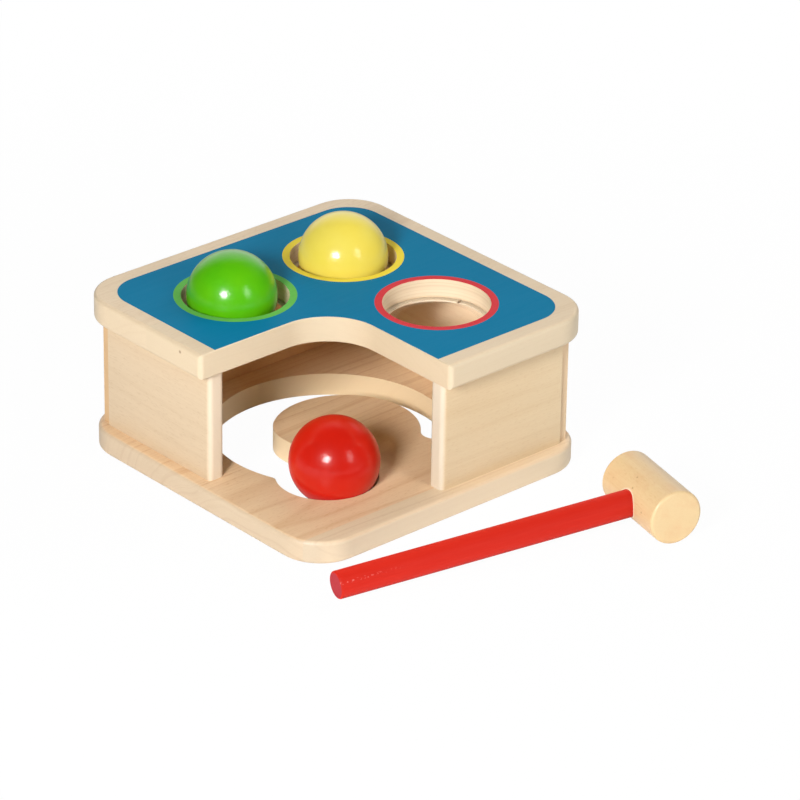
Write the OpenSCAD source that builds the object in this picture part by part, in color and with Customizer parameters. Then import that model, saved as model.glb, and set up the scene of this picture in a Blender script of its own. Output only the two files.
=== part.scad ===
// Wooden pound-a-ball toy with its mallet.
// A roof board with three ball holes stands on four panels over a base board. A struck ball drops through its
// soft washer onto a C-shaped slot in the base, which widens towards the front, so the ball rolls along the
// slot's two edges, sinking as it goes, to a round pocket where it drops to the table.
// Sizes are in millimetres. The origin is the middle of the base's underside, +Z is up, -Y is the front left
// side and +X is the front right side.

/* [Boards] */
// Side of the square base board
base_width = 180; // [164:1:230]
// Thickness of the base board
base_t = 12; // [9:0.5:18]
// How far the roof board reaches past the base board on each side
roof_lip = 1; // [0:0.5:4]
// Thickness of the roof board
roof_t = 13.5; // [12:0.5:18]
// Corner radius of both boards in plan
board_corner_r = 23; // [12:1:28]
// Rounding of both boards' outer edges
board_edge_r = 2; // [0.5:0.25:4]

/* [Panels] */
// Clear height between the two boards
panel_h = 58.5; // [50:0.5:90]
// Thickness of the two front panels
front_panel_t = 9.5; // [8.5:0.5:14]
// How far the front panels' outer faces stand in from the base board's edge
front_inset = 7; // [3:0.5:10]
// Thickness of the two back panels
back_panel_t = 5; // [4:0.5:9]
// How far the back panels' outer faces stand in from the base board's edge
back_inset = 9.5; // [4:0.5:10]
// How far the back panels' end edges stand in from the front panels' outer faces
corner_step = 1.2; // [0:0.1:3]
// Rounding of the front panels' upright edges at the doorway
panel_edge_r = 2.7; // [0.5:0.1:4]
// How far the front panels' free ends stand back from the roof's cut edge
doorway_setback = 3; // [0:0.5:8]
// How deep the back panels sit in the grooves of both boards
groove_depth = 4; // [2:0.5:6]

/* [Balls and holes] */
// Diameter of the balls
ball_d = 45; // [44.5:0.5:52]
// Distance between neighbouring hole centres
hole_pitch = 70; // [64:1:80]
// Gap between a ball and the wall of its hole
hole_play = 4.25; // [3:0.25:6]
// How far the green ball sits to the side of its hole's middle, in X
green_shift_x = -0.9; // [-1:0.1:1]
// How far the green ball sits to the side of its hole's middle, in Y
green_shift_y = -1.4; // [-1.4:0.1:1.4]

/* [Washers and hoops] */
// Thickness of the soft washer that carries a ball
washer_t = 0.8; // [0.5:0.1:1.5]
// Sideways play of a washer in its rebate
washer_float = 2; // [1.7:0.1:2.5]
// Thickness of the hoop that holds the washer up
hoop_h = 0.8; // [0.6:0.1:2]
// How far the hoop stands into the hole, inside the hole's wall
hoop_lip = 1.9; // [1:0.1:2.2]
// Width of the rebate for hoop and washer, outside the hole's wall
rebate_w = 3; // [2.5:0.25:5]
// Height of the rebate above the roof's underside
rebate_h = 3.8; // [3.5:0.1:5]
// Width of the gap at which the hoop is split
hoop_split = 1.2; // [0.6:0.1:3]
// Direction of the split, in degrees from +X
hoop_split_angle = 112; // [0:1:359]

/* [Track] */
// Width of the slot where it is narrowest
track_narrow_w = 15; // [12:0.5:20]
// Width of the slot between its two round walls, opposite its narrowest place
track_wide_w = 31; // [26:0.5:36]
// Direction from the track's middle to its narrowest place, in degrees from +X
track_narrow_angle = 45; // [35:1:60]
// How far the track's middle lies to the right of the board's middle
track_right = 0.5; // [-1:0.1:2]
// How far the track's middle lies behind the board's middle
track_back = 2.1; // [0:0.1:4]
// How far the slot's middle line runs outside the right hole's middle
track_out = 0.8; // [0:0.1:2]
// How many degrees past the right hole's middle the slot's end is centred
track_end_lead = 2; // [0:1:12]
// Radius of the tighter turn by which the inner wall bends in towards the pocket
nose_r = 23; // [18:0.5:30]
// Direction from the inner wall's middle in which the tighter turn begins, in degrees from +X
nose_angle = 217; // [205:1:228]
// Gap between a ball and the wall of the front pocket
pocket_play = 3; // [2:0.25:5]
// Rounding of the two wooden tips beside the pocket
tip_r = 4; // [1:0.5:6]

/* [Roof cut-out] */
// Radius of the cut-out's round inner corner, which is centred over the pocket
doorway_r = 28.8; // [26:0.2:31]
// Rounding in plan of the two tips that the cut-out leaves
roof_tip_r = 2.5; // [1:0.5:5]
// Broken edge along the cut-out
cut_chamfer = 0.5; // [0.2:0.1:1]

/* [Dowels] */
// Diameter of the dowels in the front panels
dowel_d = 6; // [4:0.5:6]
// Depth of a dowel in a board
dowel_in_board = 8; // [5:0.5:8.5]
// Depth of a dowel in a panel
dowel_in_panel = 12; // [8:0.5:20]
// Distance from a panel's end to its nearest dowel
dowel_end = 16; // [8:1:25]
// Chamfer on a dowel's ends
dowel_chamfer = 0.8; // [0.3:0.1:1.5]

/* [Mallet] */
// Diameter of the mallet's head
head_d = 28; // [22:0.5:40]
// Length of the mallet's head
head_len = 48.5; // [36:0.5:70]
// Diameter of the mallet's handle
handle_d = 13.8; // [10:0.2:18]
// Distance from the head's axis to the handle's free end
handle_reach = 171; // [120:1:220]
// Depth of the handle's socket in the head
socket_depth = 20; // [12:0.5:24]
// Rounding of the head's two rims
head_rim_r = 1.6; // [0.5:0.1:4]
// Rounding of the handle's ends
handle_rim_r = 1; // [0.4:0.1:3]
// Distance from the base board's edge to the middle of the mallet's head
mallet_gap = 65; // [60:1:120]
// How far the mallet's head lies behind the board's middle
mallet_back = 68.5; // [0:0.5:120]
// Direction of the head's axis on the table, in degrees from +X
mallet_yaw = -14; // [-20:1:20]

/* [Fits] */
// Room round a glued dowel, handle or grooved panel
glue_gap = 0.05; // [0.02:0.01:0.2]
// Room left at the bottom of a dowel hole, socket or groove
end_gap = 0.4; // [0.1:0.1:1]
// Room between a resting ball and the edge that carries it
seat_gap = 0.3; // [0.1:0.05:0.5]

/* [Hidden] */
$fn = 96;
over = 1;                    // how far a cut reaches past the face that it opens
merge = 0.02;                // how far two round walls that run into each other overlap, for a clean edge

base_wood = "#E6C496";
roof_wood = "#EBD3AC";
front_wood = "#EFD9B6";
back_wood = "#D9A873";
dowel_wood = "#C99B63";
hoop_wood = "#F2DEBE";
head_wood = "#F3D6A0";
clear_soft = [0.92, 0.95, 0.94, 0.35];
green_paint = "#55B51C";
yellow_paint = "#F2D73A";
red_paint = "#D92A1C";

// Heights
roof_z = base_t + panel_h;
top_z = roof_z + roof_t;

// Panels in plan
roof_side = base_width + 2 * roof_lip;
front_face = base_width / 2 - front_inset;
back_face = base_width / 2 - back_inset;
back_inner = back_face - back_panel_t;
back_end = front_face - corner_step;

// Holes, washers and hoops
ball_r = ball_d / 2;
grid = hole_pitch / 2;
hole_r = ball_r + hole_play;
rebate_r = hole_r + rebate_w;
hoop_in_r = hole_r - hoop_lip;
washer_z = roof_z + rebate_h - washer_t;
washer_out_r = rebate_r - washer_float;
seat_depth = top_z - washer_z - washer_t;    // from a held ball's middle down to the washer's upper face
washer_in_r = sqrt(pow(ball_r, 2) - pow(seat_depth, 2)) + seat_gap;
green_shift = [green_shift_x, green_shift_y];

// Roof cut-out
cut = grid - doorway_r;
door_end = cut - doorway_setback;

// Track: an outer and an inner wall, both round, whose middles lie apart, so the slot between them widens.
// At the front the inner wall turns in more tightly and runs straight to the pocket.
function heading(a) = [cos(a), sin(a)];
function toward(p, q) = (q - p) / norm(q - p);
// The point at distance d1 from c1 and d2 from c2, to the right of the way from c1 to c2
function meeting(c1, d1, c2, d2) =
    let (d = norm(c2 - c1), along = toward(c1, c2), a = (d * d + d1 * d1 - d2 * d2) / (2 * d))
    c1 + a * along + sqrt(d1 * d1 - a * a) * [along.y, -along.x];

right_hole = [grid, grid];
track_mid = [track_right, track_back];
track_mid_r = norm(right_hole - track_mid) + track_out;
track_mean_w = (track_narrow_w + track_wide_w) / 2;
wall_offset = (track_wide_w - track_narrow_w) / 4 * heading(track_narrow_angle);
outer_c = track_mid - wall_offset;
inner_c = track_mid + wall_offset;
outer_r = track_mid_r + track_mean_w / 2;
inner_r = track_mid_r - track_mean_w / 2;

// Round end of the slot, a circle that touches both walls
end_way = heading(atan2(grid - inner_c.y, grid - inner_c.x) + track_end_lead);
wall_gap = inner_c - outer_c;
track_end_r = (pow(outer_r, 2) - pow(inner_r, 2) - wall_gap * wall_gap - 2 * inner_r * (wall_gap * end_way))
    / (2 * (wall_gap * end_way + inner_r + outer_r));
track_end = inner_c + (inner_r + track_end_r) * end_way;
nose_c = inner_c + (inner_r - nose_r) * heading(nose_angle);
nose_foot = nose_c - [0, nose_r];

// Front pocket, with the red ball leaning on its right edge
pocket_c = [grid, -grid];
pocket_r = ball_r + pocket_play;
ball_at_base_top = sqrt(pow(ball_r, 2) - pow(max(ball_r - base_t, 0), 2));
pocket_lean = pocket_r - ball_at_base_top - seat_gap;

// Holes: name, place, and shift of the ball and its washer
NAME = 0;
PLACE = 1;
SHIFT = 2;
HOLES = [
    ["green", [-grid, -grid], green_shift],
    ["yellow", [-grid, grid], [0, 0]],
    ["red", [grid, grid], [0, 0]]
];

// Front panels: name, quarter turns from the front left side, and span along that side
TURN = 1;
SPAN = 2;
FRONT_PANELS = [
    ["front_left", 0, [-back_inner, door_end]],
    ["front_right", 1, [-door_end, back_inner]]
];

// Mallet
head_r = head_d / 2;
handle_r = handle_d / 2;
mallet_tilt = asin((head_r - handle_r) / handle_reach);
socket_end = head_r - socket_depth;

// Section of a board's border, w wide and t high, with its outer edges rounded
module edge_profile(w, t, r) {
    translate([0, r]) square([w, t - 2 * r]);
    square([w - r, t]);
    for (y = [r, t - r]) translate([w - r, y]) circle(r);
}

// Square board with round corners and rounded edges, from its middle block, sides and corners
module soft_board(side, t) {
    run = side - 2 * board_corner_r;
    translate([-run / 2, -run / 2, 0]) cube([run, run, t]);
    for (a = [0 : 90 : 270]) rotate(a) translate([run / 2, run / 2, 0]) {
        rotate_extrude(angle = 90) edge_profile(board_corner_r, t, board_edge_r);
        rotate([90, 0, 0]) linear_extrude(run) edge_profile(board_corner_r, t, board_edge_r);
    }
}

// Turned blank on the Z axis with rounded rims
module turned(r, h, rim) {
    rotate_extrude() edge_profile(r, h, rim);
}

// Rounds a wooden tip: what lies between two rays from the rounding's middle, outside the rounding
module tip_cut(c, ray_1, ray_2) {
    reach = 2.2 * tip_r;
    difference() {
        polygon([c, c + reach * ray_1, c + reach * ray_2]);
        translate(c) circle(tip_r + merge);
    }
}

// Plan of the slot and its pocket
module track_plan() {
    far = 2 * outer_r;
    end_touch = toward(outer_c, track_end);
    back_way = heading((track_narrow_angle + nose_angle) / 2);
    nose_way = heading(nose_angle);
    outer_tip = meeting(outer_c, outer_r + tip_r, pocket_c, pocket_r + tip_r);
    inner_tip_y = nose_foot.y + tip_r;
    inner_tip = [pocket_c.x - sqrt(pow(pocket_r + tip_r, 2) - pow(inner_tip_y - pocket_c.y, 2)), inner_tip_y];
    difference() {
        translate(outer_c) circle(outer_r);
        intersection() {
            translate(inner_c) circle(inner_r);
            polygon([inner_c, inner_c + far * end_way, inner_c + far * back_way, inner_c + far * nose_way]);
        }
        translate(nose_c) circle(nose_r + merge);
        polygon([nose_foot, nose_foot + [far, 0], track_end + far * end_touch, track_end, inner_c, nose_c]);
    }
    translate(track_end) circle(track_end_r + merge);
    translate(pocket_c) circle(pocket_r);
    tip_cut(outer_tip, toward(outer_tip, outer_c), toward(outer_tip, pocket_c));
    tip_cut(inner_tip, [0, -1], toward(inner_tip, pocket_c));
}

// Plan of the corner that is cut from the roof, with the rounding of the tips that it leaves
module cutout_plan() {
    edge = roof_side / 2;
    translate([cut, -edge - over]) square([edge + over - cut, edge + over - grid]);
    translate([grid, -edge - over]) square([edge + over - grid, edge + over - cut]);
    translate([grid, -grid]) circle(doorway_r);
    for (flip = [0, 1]) mirror([flip, flip]) difference() {
        translate([cut - roof_tip_r, -edge - over]) square([roof_tip_r + over, roof_tip_r + over]);
        translate([cut - roof_tip_r, -edge + roof_tip_r]) circle(roof_tip_r);
    }
}

// Broken edges along the cut-out, on the roof's upper and lower faces
module cutout_chamfers() {
    run = roof_side / 2 + over - grid;
    for (face = [[0, -1], [roof_t, 1]]) translate([grid, -grid, face[0]]) scale([1, 1, face[1]]) {
        rotate(90) rotate_extrude(angle = 90) chamfer_profile(doorway_r);
        rotate([90, 0, 0]) linear_extrude(run) mirror([1, 0]) chamfer_profile(doorway_r);
        rotate([90, 0, 90]) linear_extrude(run) chamfer_profile(doorway_r);
    }
}

// Section of the broken edge of a wall that stands at distance r, with the face at height 0
module chamfer_profile(r) {
    c = cut_chamfer;
    polygon([[r + 2 * c, c], [r - c, -2 * c], [r - c, c]]);
}

// Places its children at the dowels of a front panel
module at_dowels(p) {
    rotate(90 * p[TURN])
        for (x = [p[SPAN][0] + dowel_end, p[SPAN][1] - dowel_end])
            translate([x, -front_face + front_panel_t / 2, 0]) children();
}

// Dowel holes of both front panels where they meet a board at height z, with the given depths below and above
module dowel_holes(z, below, above) {
    for (p = FRONT_PANELS) at_dowels(p)
        translate([0, 0, z - below]) cylinder(d = dowel_d + 2 * glue_gap, h = below + above);
}

module dowel(z, below, above) {
    r = dowel_d / 2;
    c = dowel_chamfer;
    h = below + above - 2 * end_gap;
    translate([0, 0, z - below + end_gap])
        rotate_extrude() polygon([[0, 0], [r - c, 0], [r, c], [r, h - c], [r - c, h], [0, h]]);
}

// Plan of a back panel, grown by gap on every side
module back_left_plan(gap) {
    translate([-back_face - gap, -back_end - gap])
        square([back_panel_t + 2 * gap, back_end + back_face + 2 * gap]);
}

module back_right_plan(gap) {
    translate([-back_inner - gap, back_inner - gap])
        square([back_inner + back_end + 2 * gap, back_panel_t + 2 * gap]);
}

// Grooves for both back panels, h deep, from height z
module back_grooves(z, h) {
    translate([0, 0, z]) linear_extrude(h) {
        back_left_plan(glue_gap);
        back_right_plan(glue_gap);
    }
}

module base_board() {
    color(base_wood) difference() {
        soft_board(base_width, base_t);
        translate([0, 0, -over]) linear_extrude(base_t + 2 * over) track_plan();
        dowel_holes(base_t, dowel_in_board, over);
        back_grooves(base_t - groove_depth, groove_depth + over);
    }
}

module roof_board() {
    color(roof_wood) difference() {
        translate([0, 0, roof_z]) soft_board(roof_side, roof_t);
        translate([0, 0, roof_z - over]) linear_extrude(roof_t + 2 * over) cutout_plan();
        translate([0, 0, roof_z]) cutout_chamfers();
        for (h = HOLES) translate([h[PLACE].x, h[PLACE].y, roof_z - over]) {
            cylinder(r = hole_r, h = roof_t + 2 * over);
            cylinder(r = rebate_r, h = rebate_h + over);
        }
        dowel_holes(roof_z, over, dowel_in_board);
        back_grooves(roof_z - over, groove_depth + over);
    }
}

// Plan of a front panel, with its free end on the right rounded at both faces
module front_panel_plan(length) {
    r = panel_edge_r;
    square([length - r, front_panel_t]);
    translate([0, r]) square([length, front_panel_t - 2 * r]);
    for (y = [r, front_panel_t - r]) translate([length - r, y]) circle(r);
}

module front_panel(p) {
    length = p[SPAN][1] - p[SPAN][0];
    color(front_wood) difference() {
        rotate(90 * p[TURN]) translate([p[SPAN][0], -front_face, base_t])
            translate([p[TURN] * length, 0, 0]) mirror([p[TURN], 0, 0])
                linear_extrude(panel_h) front_panel_plan(length);
        dowel_holes(base_t, over, dowel_in_panel);
        dowel_holes(roof_z, dowel_in_panel, over);
    }
}

module back_left_panel() {
    color(back_wood) translate([0, 0, base_t - groove_depth + end_gap])
        linear_extrude(panel_h + 2 * (groove_depth - end_gap)) back_left_plan(0);
}

module back_right_panel() {
    color(back_wood) translate([0, 0, base_t - groove_depth + end_gap])
        linear_extrude(panel_h + 2 * (groove_depth - end_gap)) back_right_plan(0);
}

module foot_dowels(p) {
    color(dowel_wood) at_dowels(p) dowel(base_t, dowel_in_board, dowel_in_panel);
}

module top_dowels(p) {
    color(dowel_wood) at_dowels(p) dowel(roof_z, dowel_in_panel, dowel_in_board);
}

module hole_washer(h) {
    color(clear_soft) translate([h[PLACE].x + h[SHIFT].x, h[PLACE].y + h[SHIFT].y, washer_z])
        difference() {
            cylinder(r = washer_out_r, h = washer_t);
            translate([0, 0, -over]) cylinder(r = washer_in_r, h = washer_t + 2 * over);
        }
}

module hole_hoop(h) {
    color(hoop_wood) translate([h[PLACE].x, h[PLACE].y, washer_z - hoop_h]) difference() {
        cylinder(r = rebate_r - glue_gap, h = hoop_h);
        translate([0, 0, -over]) cylinder(r = hoop_in_r, h = hoop_h + 2 * over);
        rotate(hoop_split_angle) translate([0, -hoop_split / 2, -over])
            cube([rebate_r + over, hoop_split, hoop_h + 2 * over]);
    }
}

module held_ball(h, paint) {
    color(paint) translate([h[PLACE].x + h[SHIFT].x, h[PLACE].y + h[SHIFT].y, top_z]) sphere(ball_r);
}

module red_ball() {
    color(red_paint) translate([pocket_c.x + pocket_lean, pocket_c.y, ball_r]) sphere(ball_r);
}

// The mallet lies with its head and its handle's free end on the table. Z is the handle's axis.
module mallet_frame() {
    translate([base_width / 2 + mallet_gap, mallet_back, head_r])
        rotate([mallet_tilt + 90, 0, mallet_yaw]) children();
}

module mallet_head() {
    color(head_wood) mallet_frame() difference() {
        rotate([0, 90, 0]) translate([0, 0, -head_len / 2]) turned(head_r, head_len, head_rim_r);
        translate([0, 0, socket_end]) cylinder(r = handle_r + glue_gap, h = socket_depth + over);
    }
}

module mallet_handle() {
    start = socket_end + end_gap;
    color(red_paint) mallet_frame()
        translate([0, 0, start]) turned(handle_r, handle_reach - start, handle_rim_r);
}

base_board();
roof_board();
for (p = FRONT_PANELS) {
    front_panel(p);
    foot_dowels(p);
    top_dowels(p);
}
back_left_panel();
back_right_panel();
for (h = HOLES) {
    hole_washer(h);
    hole_hoop(h);
}
held_ball(HOLES[0], green_paint);  // green_ball
held_ball(HOLES[1], yellow_paint);  // yellow_ball
red_ball();
mallet_head();
mallet_handle();
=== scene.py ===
# %% [markdown]
# # A wooden pound-a-ball toy, dressed for its portrait
#
# The toy is a beech box with three ball holes in its roof. A child knocks a ball through a hole with the
# mallet. The ball lands on a curved slot in the base, rolls round to the open corner and drops to the table.
#
# The boards, panels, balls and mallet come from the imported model, already in the right place and in metres.
# This lesson adds what a solid model can't hold: the camera, the light, the wood, the paint and the printing.

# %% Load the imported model
import math

import bmesh
import bpy
from mathutils import Euler, Matrix, Vector


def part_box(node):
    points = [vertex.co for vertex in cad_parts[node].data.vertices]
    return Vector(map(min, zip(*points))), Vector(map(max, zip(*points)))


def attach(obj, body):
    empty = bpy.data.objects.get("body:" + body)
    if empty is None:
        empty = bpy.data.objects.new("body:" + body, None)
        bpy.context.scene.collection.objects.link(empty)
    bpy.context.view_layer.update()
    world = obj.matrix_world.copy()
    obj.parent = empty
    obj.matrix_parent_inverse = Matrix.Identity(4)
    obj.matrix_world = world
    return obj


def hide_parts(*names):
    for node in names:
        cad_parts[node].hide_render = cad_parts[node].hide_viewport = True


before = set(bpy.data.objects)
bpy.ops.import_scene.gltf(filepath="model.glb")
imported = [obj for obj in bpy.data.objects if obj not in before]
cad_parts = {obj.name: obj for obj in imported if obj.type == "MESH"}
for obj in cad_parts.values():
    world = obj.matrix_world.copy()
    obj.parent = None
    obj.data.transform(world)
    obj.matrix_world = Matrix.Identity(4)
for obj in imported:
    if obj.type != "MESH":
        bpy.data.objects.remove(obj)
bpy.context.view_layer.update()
MM = 0.001

# %% [markdown]
# ## The camera
#
# The picture was taken from above the open front corner with a long lens, so the boards' edges stay almost
# parallel. A camera could be aimed with a Track To constraint, but the picture leans by nearly one degree.
# So the camera's own three axes are worked out from its bearing, its height angle and that lean.

# %% Camera
BEARING = math.radians(48.125)
HEIGHT_ANGLE = math.radians(27.038)
LEAN = math.radians(0.920)
CAMERA_AT = Vector((1572.5, -1366.4, 1091.9)) * MM
FOCAL_PIXELS = 4719.2
IMAGE_PIXELS = 800
SENSOR_WIDTH = 36

backward = Vector((
    math.sin(BEARING) * math.cos(HEIGHT_ANGLE),
    -math.cos(BEARING) * math.cos(HEIGHT_ANGLE),
    math.sin(HEIGHT_ANGLE),
))
level_right = Vector((math.cos(BEARING), math.sin(BEARING), 0))
level_up = backward.cross(level_right)
right = math.cos(LEAN) * level_right + math.sin(LEAN) * level_up
up = math.cos(LEAN) * level_up - math.sin(LEAN) * level_right

camera = bpy.data.objects.new("camera", bpy.data.cameras.new("camera"))
bpy.context.scene.collection.objects.link(camera)
camera.data.sensor_width = SENSOR_WIDTH
camera.data.lens = SENSOR_WIDTH * FOCAL_PIXELS / IMAGE_PIXELS
camera.data.clip_start = 0.1
camera.data.clip_end = 50
turn = Matrix((right, up, backward)).transposed().to_4x4()
camera.matrix_world = Matrix.Translation(CAMERA_AT) @ turn
bpy.context.scene.camera = camera
print("lens", round(camera.data.lens, 1), "mm at", [round(v, 3) for v in camera.location], "m")

# %% [markdown]
# ## Two helpers for every material
#
# Colours are written as the hex codes that a picture shows, and Blender's sockets hold linear light, so one
# function turns one into the other. A second small function adds a node, sets its properties and fills its
# sockets, from numbers or from another node's output. Every material below is built with these two.

# %% Colour and node helpers
def colour(hex_code):
    """The linear colour of an sRGB hex code, with full opacity."""
    parts = [int(hex_code[i:i + 2], 16) / 255 for i in (1, 3, 5)]
    return [v / 12.92 if v <= 0.04045 else ((v + 0.055) / 1.055) ** 2.4 for v in parts] + [1.0]


def add_node(tree, kind, sockets=None, **settings):
    """Adds a node, sets its properties, and fills its sockets with numbers or other nodes' outputs."""
    made = tree.nodes.new(kind)
    for name, value in settings.items():
        setattr(made, name, value)
    for name, value in (sockets or {}).items():
        if isinstance(value, bpy.types.NodeSocket):
            tree.links.new(value, made.inputs[name])
        else:
            made.inputs[name].default_value = value
    return made


print("wood #EFD2AE in linear light:", [round(v, 3) for v in colour("#EFD2AE")[:3]])

# %% [markdown]
# ## White surroundings
#
# The toy stands on white with nothing else in sight. More light would wash the wood out, so the white comes
# from what the rays see. To the camera and through clear plastic the world is pure white. Gloss shows a
# white paper backdrop behind the toy and a dim room elsewhere, so the balls get a pale rim at the top and
# stay deep in colour below it. All other rays get a soft grey light.

# %% World
AMBIENT = 0.05
BACKDROP = 1.3
BACKDROP_RISE = 0.25


def white_seen(tree, in_gloss):
    """How white a thing looks: wholly to the camera and through clear plastic, in_gloss in a reflection."""
    rays = add_node(tree, "ShaderNodeLightPath")
    direct = add_node(tree, "ShaderNodeMath", {
        0: rays.outputs["Is Camera Ray"], 1: rays.outputs["Is Transmission Ray"]}, operation="MAXIMUM")
    mirrored = add_node(tree, "ShaderNodeMath", {0: rays.outputs["Is Glossy Ray"], 1: in_gloss},
                        operation="MULTIPLY")
    return add_node(tree, "ShaderNodeMath", {0: direct.outputs[0], 1: mirrored.outputs[0]},
                    operation="MAXIMUM").outputs[0]


world = bpy.data.worlds.new("studio")
bpy.context.scene.world = world
world.use_nodes = True
sky = world.node_tree
sky.nodes.clear()
way = add_node(sky, "ShaderNodeTexCoord")
behind = Vector((-backward.x, -backward.y, BACKDROP_RISE)).normalized()
toward = add_node(sky, "ShaderNodeVectorMath", {0: way.outputs["Generated"], 1: behind},
                  operation="DOT_PRODUCT")
sweep = add_node(sky, "ShaderNodeMapRange", {
    "Value": toward.outputs["Value"], "From Min": 0.65, "From Max": 0.90,
    "To Min": AMBIENT, "To Max": BACKDROP})
strength = add_node(sky, "ShaderNodeMath", {0: white_seen(sky, sweep.outputs[0]), 1: AMBIENT},
                    operation="MAXIMUM")
white = add_node(sky, "ShaderNodeBackground", {"Color": colour("#FFFFFF"), "Strength": strength.outputs[0]})
add_node(sky, "ShaderNodeOutputWorld", {"Surface": white.outputs[0]})
print("ambient", AMBIENT, "- backdrop in gloss", BACKDROP)

# %% [markdown]
# ## The floor
#
# The floor is mostly that white too. A plain matt plane would show its own shading and broad shadows. So most
# of it glows white by itself, and near the toy a part stays plain matt paint, which keeps a faint shadow.
# Gloss sees little of it. Only the gap behind the red ball stays dark in the photograph, so one small round
# of floor under the board is all matt paint.

# %% Floor paper
GAP_BEHIND_BALL = Vector((40, -9, 0)) * MM


def empty_material(name):
    """A new material without nodes, and its node tree."""
    material = bpy.data.materials.new(name)
    material.use_nodes = True
    material.node_tree.nodes.clear()
    return material, material.node_tree


paper, tree = empty_material("matt_white_paper")
where = add_node(tree, "ShaderNodeTexCoord")
away = add_node(tree, "ShaderNodeVectorMath", {0: where.outputs["Object"]}, operation="LENGTH")
in_gloss = add_node(tree, "ShaderNodeMapRange", {
    "Value": away.outputs["Value"], "From Min": 0.25, "From Max": 0.5, "To Min": 0.3, "To Max": 0.1})
white_share = add_node(tree, "ShaderNodeMapRange", {
    "Value": away.outputs["Value"], "From Min": 0.15, "From Max": 0.6, "To Min": 0.975, "To Max": 1.0},
    interpolation_type="SMOOTHSTEP")
from_gap = add_node(tree, "ShaderNodeVectorMath", {0: where.outputs["Object"], 1: GAP_BEHIND_BALL},
                    operation="DISTANCE")
open_floor = add_node(tree, "ShaderNodeMapRange", {
    "Value": from_gap.outputs["Value"], "From Min": 12 * MM, "From Max": 16 * MM})
share = white_seen(tree, in_gloss.outputs[0])
for part in (white_share, open_floor):
    share = add_node(tree, "ShaderNodeMath", {0: share, 1: part.outputs[0]}, operation="MULTIPLY").outputs[0]
matt = add_node(tree, "ShaderNodeBsdfDiffuse", {"Color": colour("#FAFAFA")})
glow = add_node(tree, "ShaderNodeEmission", {"Color": colour("#FFFFFF"), "Strength": 1.0})
floor_mix = add_node(tree, "ShaderNodeMixShader", {0: share, 1: matt.outputs[0], 2: glow.outputs[0]})
add_node(tree, "ShaderNodeOutputMaterial", {"Surface": floor_mix.outputs[0]})
print("floor material:", paper.name)

# %% Floor plane
FLOOR_HALF = 8
bm = bmesh.new()
bmesh.ops.create_grid(bm, x_segments=1, y_segments=1, size=FLOOR_HALF)
floor_mesh = bpy.data.meshes.new("floor")
bm.to_mesh(floor_mesh)
bm.free()
floor_mesh.materials.append(paper)
floor = bpy.data.objects.new("floor", floor_mesh)
bpy.context.scene.collection.objects.link(floor)
print("floor", [round(v, 1) for v in floor.dimensions], "m")

# %% [markdown]
# ## Four soft lamps
#
# Each ball shows a bright round spot left of its middle and a fainter upright one at its right. A mirror ball
# tells where a lamp stands: the direction halfway between the lamp and the camera is the ball's normal at
# the spot. That puts a round main lamp 19 degrees left of the camera and a narrow upright one about
# 39 degrees right, both about as high as the camera. Two wide weak lamps stand for light from a pale ceiling
# and a pale wall. One is behind the toy and lifts the tops and the far sides, one is low at the right and
# softens the shadow under the roof. Such light gives no spot of its own, so gloss doesn't see these two.
#
# A lamp of P watts at d metres lights a surface to the level P / (pi * d)**2.

# %% Lamps
LOOK_AT = Vector((0.01, 0, 0.045))


def soft_lamp(name, toward, distance, size, level):
    """A lamp in a direction given along the camera's right, up and backward. size is width and height."""
    way = (toward[0] * right + toward[1] * up + toward[2] * backward).normalized()
    lamp = bpy.data.objects.new(name, bpy.data.lights.new(name, "AREA"))
    lamp.data.shape = "ELLIPSE"
    lamp.data.size, lamp.data.size_y = size
    lamp.data.energy = level * (math.pi * distance) ** 2
    lamp.location = LOOK_AT + distance * way
    lamp.rotation_euler = way.to_track_quat("Z", "Y").to_euler()
    bpy.context.scene.collection.objects.link(lamp)
    return lamp


main_lamp = soft_lamp("main_lamp", (-0.325, 0.03, 0.945), distance=1.25, size=(0.32, 0.32), level=1.04)
side_lamp = soft_lamp("side_lamp", (0.62, 0.13, 0.77), distance=1.25, size=(0.28, 0.60), level=0.18)
back_lamp = soft_lamp("back_lamp", (0.60, 0.80, -0.15), distance=1.60, size=(0.90, 0.90), level=0.36)
wall_lamp = soft_lamp("wall_lamp", (0.83, -0.28, 0.48), distance=1.60, size=(1.20, 1.20), level=0.36)
for lamp in (back_lamp, wall_lamp):
    lamp.visible_glossy = False
for lamp in (main_lamp, side_lamp, back_lamp, wall_lamp):
    print(lamp.name, [round(v, 2) for v in lamp.location], round(lamp.data.energy, 1), "W")

# %% [markdown]
# ## Where a board lay in its tree
#
# The boards, panels and mallet head are beech under a satin clear lacquer: pale, slightly pink, with faint
# growth rings, fine straight fibres and short darker flecks. A flat picture of wood would show the same
# lines on every side of a board. Here the rings are cylinders round the tree's heart, so a board cut from
# them shows long lines on its faces and arcs on its ends, as a sawn one does.
#
# The Mapping node turns the pattern's Z axis along the fibres and moves the tree's heart beside the board.
# A wide board is glued from staves: each stave has its own heart, picked by a noise from its number.

# %% Log and staves
STAVE_SHIFT = Vector((150, 60, 300)) * MM


def place_in_log(tree, turned, heart):
    """Where a point lies in its tree: Z runs along the fibres, X and Y across them. heart is in mm."""
    where = add_node(tree, "ShaderNodeTexCoord")
    return add_node(tree, "ShaderNodeMapping", {
        "Vector": where.outputs["Object"], "Location": Vector(heart) * MM, "Rotation": turned},
        vector_type="TEXTURE").outputs[0]


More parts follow.
